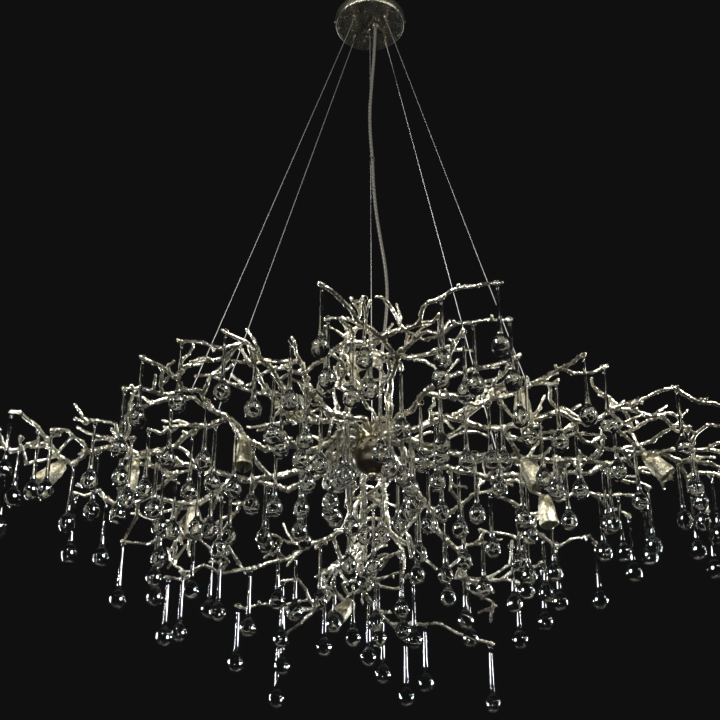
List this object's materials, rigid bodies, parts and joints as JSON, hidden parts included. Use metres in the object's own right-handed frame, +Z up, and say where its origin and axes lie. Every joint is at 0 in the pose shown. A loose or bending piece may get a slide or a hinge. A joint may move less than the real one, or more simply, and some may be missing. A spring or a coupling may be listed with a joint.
{
  "type": "branch chandelier",
  "caption": "Oval ceiling chandelier of cast metal branches hung on wires from a round canopy, with long glass drops hooked under its twigs and small lamp cups.",
  "frame": {"origin": "middle of the ceiling plane on top of the bracket, between its two screw holes", "axes": "+X along the crown's long axis to the viewer's right, +Y away from the viewer, +Z up"},
  "size_m": [1.487, 1.0172, 1.4894],
  "materials": {
    "aged_silver": "hammered, aged dark silver",
    "brushed_collar": "pale satin metal",
    "clear_cable": "clear jacket over silver braid",
    "clear_glass": "solid clear hand-drawn glass",
    "dark_bowl": "dark satin bronze grey",
    "lamp_glass": "clear lamp capsule",
    "lampholder_ceramic": "white glazed steatite",
    "nickel_screw": "bright nickel plate",
    "silver_leaf": "champagne silver leaf over rough bark-textured cast metal, olive gold in the hollows",
    "silver_leaf_cups": "champagne silver leaf over granular cast metal",
    "steel_wire": "stranded stainless wire",
    "terminal_nylon": "white nylon",
    "zinc_plate": "zinc plated steel"
  },
  "bodies": {
    "fixture": {"arm_front": "silver_leaf", "arm_front_left": "silver_leaf", "arm_left_crown": "silver_leaf", "arm_left_far": "silver_leaf", "arm_left_high": "silver_leaf", "arm_left_low": "silver_leaf", "arm_low_back": "silver_leaf", "arm_low_left": "silver_leaf", "arm_low_middle": "silver_leaf", "arm_low_right": "silver_leaf", "arm_right_far": "silver_leaf", "arm_right_low": "silver_leaf", "arm_right_main": "silver_leaf", "arm_right_top": "silver_leaf", "cable_clip": "clear_cable", "cable_gland": "nickel_screw", "canopy": "aged_silver", "canopy_side_screws": "nickel_screw", "ceiling_bracket": "zinc_plate", "drop_rings": "nickel_screw", "drops_left": "clear_glass", "drops_middle": "clear_glass", "drops_right": "clear_glass", "gripper_bodies": "nickel_screw", "gripper_collars": "nickel_screw", "hub_bowl": "dark_bowl", "hub_collar": "brushed_collar", "hub_disc": "aged_silver", "hub_eye": "nickel_screw", "hub_finial": "dark_bowl", "hub_nuts": "zinc_plate", "hub_rod": "zinc_plate", "hub_screws": "nickel_screw", "hub_terminal": "terminal_nylon", "hub_terminal_bracket": "zinc_plate", "lamp_cups": "silver_leaf_cups", "lampholders": "lampholder_ceramic", "lamps": "lamp_glass", "power_cable": "clear_cable", "suspension_wires": "steel_wire", "terminal_block": "terminal_nylon", "wire_eyes": "steel_wire"},
    "plunger_1": {"gripper_plunger_1": "nickel_screw"},
    "plunger_2": {"gripper_plunger_2": "nickel_screw"},
    "plunger_3": {"gripper_plunger_3": "nickel_screw"},
    "plunger_4": {"gripper_plunger_4": "nickel_screw"},
    "plunger_5": {"gripper_plunger_5": "nickel_screw"},
    "swing_drop_01_body": {"swing_drop_01": "clear_glass"},
    "swing_drop_02_body": {"swing_drop_02": "clear_glass"},
    "swing_drop_03_body": {"swing_drop_03": "clear_glass"},
    "swing_drop_04_body": {"swing_drop_04": "clear_glass"},
    "swing_drop_05_body": {"swing_drop_05": "clear_glass"},
    "swing_drop_06_body": {"swing_drop_06": "clear_glass"},
    "swing_drop_07_body": {"swing_drop_07": "clear_glass"},
    "swing_drop_08_body": {"swing_drop_08": "clear_glass"},
    "swing_drop_09_body": {"swing_drop_09": "clear_glass"},
    "swing_drop_10_body": {"swing_drop_10": "clear_glass"},
    "swing_drop_11_body": {"swing_drop_11": "clear_glass"},
    "swing_drop_12_body": {"swing_drop_12": "clear_glass"}
  },
  "joints": [
    {"name": "plunger_1_press", "type": "slide", "parent": "fixture", "child": "plunger_1", "axis": [0.2246, 0.0971, 0.9696], "range_m": [0, 0.0025], "stiffness_N_per_m": 400, "springref_m": -0.001},
    {"name": "plunger_2_press", "type": "slide", "parent": "fixture", "child": "plunger_2", "axis": [0.2601, 0.1023, 0.9602], "range_m": [0, 0.0025], "stiffness_N_per_m": 400, "springref_m": -0.001},
    {"name": "plunger_3_press", "type": "slide", "parent": "fixture", "child": "plunger_3", "axis": [-0.2313, 0.0792, 0.9697], "range_m": [0, 0.0025], "stiffness_N_per_m": 400, "springref_m": -0.001},
    {"name": "plunger_4_press", "type": "slide", "parent": "fixture", "child": "plunger_4", "axis": [-0.1983, -0.0911, 0.9759], "range_m": [0, 0.0025], "stiffness_N_per_m": 400, "springref_m": -0.001},
    {"name": "plunger_5_press", "type": "slide", "parent": "fixture", "child": "plunger_5", "axis": [0, 0.0092, 1], "range_m": [0, 0.0025], "stiffness_N_per_m": 400, "springref_m": -0.001},
    {"name": "drop_01_swing", "type": "hinge", "parent": "fixture", "child": "swing_drop_01_body", "pos_m": [0.24948, 0.4987, -1.3482], "axis": [-0.2804, 0.9599, 0], "range_deg": [-15, 15]},
    {"name": "drop_02_swing", "type": "hinge", "parent": "fixture", "child": "swing_drop_02_body", "pos_m": [0.07256, 0.50119, -1.33291], "axis": [-0.488, 0.8728, 0], "range_deg": [-15, 15]},
    {"name": "drop_03_swing", "type": "hinge", "parent": "fixture", "child": "swing_drop_03_body", "pos_m": [0.20872, -0.46662, -1.13664], "axis": [0.1873, 0.9823, 0], "range_deg": [-15, 15]},
    {"name": "drop_04_swing", "type": "hinge", "parent": "fixture", "child": "swing_drop_04_body", "pos_m": [-0.18315, 0.46837, -1.27985], "axis": [0.119, -0.9929, 0], "range_deg": [-15, 15]},
    {"name": "drop_05_swing", "type": "hinge", "parent": "fixture", "child": "swing_drop_05_body", "pos_m": [-0.08807, -0.45433, -1.13174], "axis": [0.8109, -0.5852, 0], "range_deg": [-15, 15]},
    {"name": "drop_06_swing", "type": "hinge", "parent": "fixture", "child": "swing_drop_06_body", "pos_m": [0.67077, 0.20136, -1.1963], "axis": [-0.6887, 0.725, 0], "range_deg": [-15, 15]},
    {"name": "drop_07_swing", "type": "hinge", "parent": "fixture", "child": "swing_drop_07_body", "pos_m": [0.72459, 0.08568, -1.18222], "axis": [0.0868, 0.9962, 0], "range_deg": [-15, 15]},
    {"name": "drop_08_swing", "type": "hinge", "parent": "fixture", "child": "swing_drop_08_body", "pos_m": [-0.72758, 0.03415, -1.1493], "axis": [-0.0636, -0.998, 0], "range_deg": [-15, 15]},
    {"name": "drop_09_swing", "type": "hinge", "parent": "fixture", "child": "swing_drop_09_body", "pos_m": [-0.50414, 0.28587, -1.21885], "axis": [0.2631, -0.9648, 0], "range_deg": [-15, 15]},
    {"name": "drop_10_swing", "type": "hinge", "parent": "fixture", "child": "swing_drop_10_body", "pos_m": [0.69784, -0.06737, -1.18337], "axis": [-0.2691, 0.9631, 0], "range_deg": [-15, 15]},
    {"name": "drop_11_swing", "type": "hinge", "parent": "fixture", "child": "swing_drop_11_body", "pos_m": [0.29822, 0.36026, -1.27209], "axis": [0.1429, 0.9897, 0], "range_deg": [-15, 15]},
    {"name": "drop_12_swing", "type": "hinge", "parent": "fixture", "child": "swing_drop_12_body", "pos_m": [-0.67762, -0.07498, -1.13981], "axis": [0.0099, -1, 0], "range_deg": [-15, 15]}
  ]
}
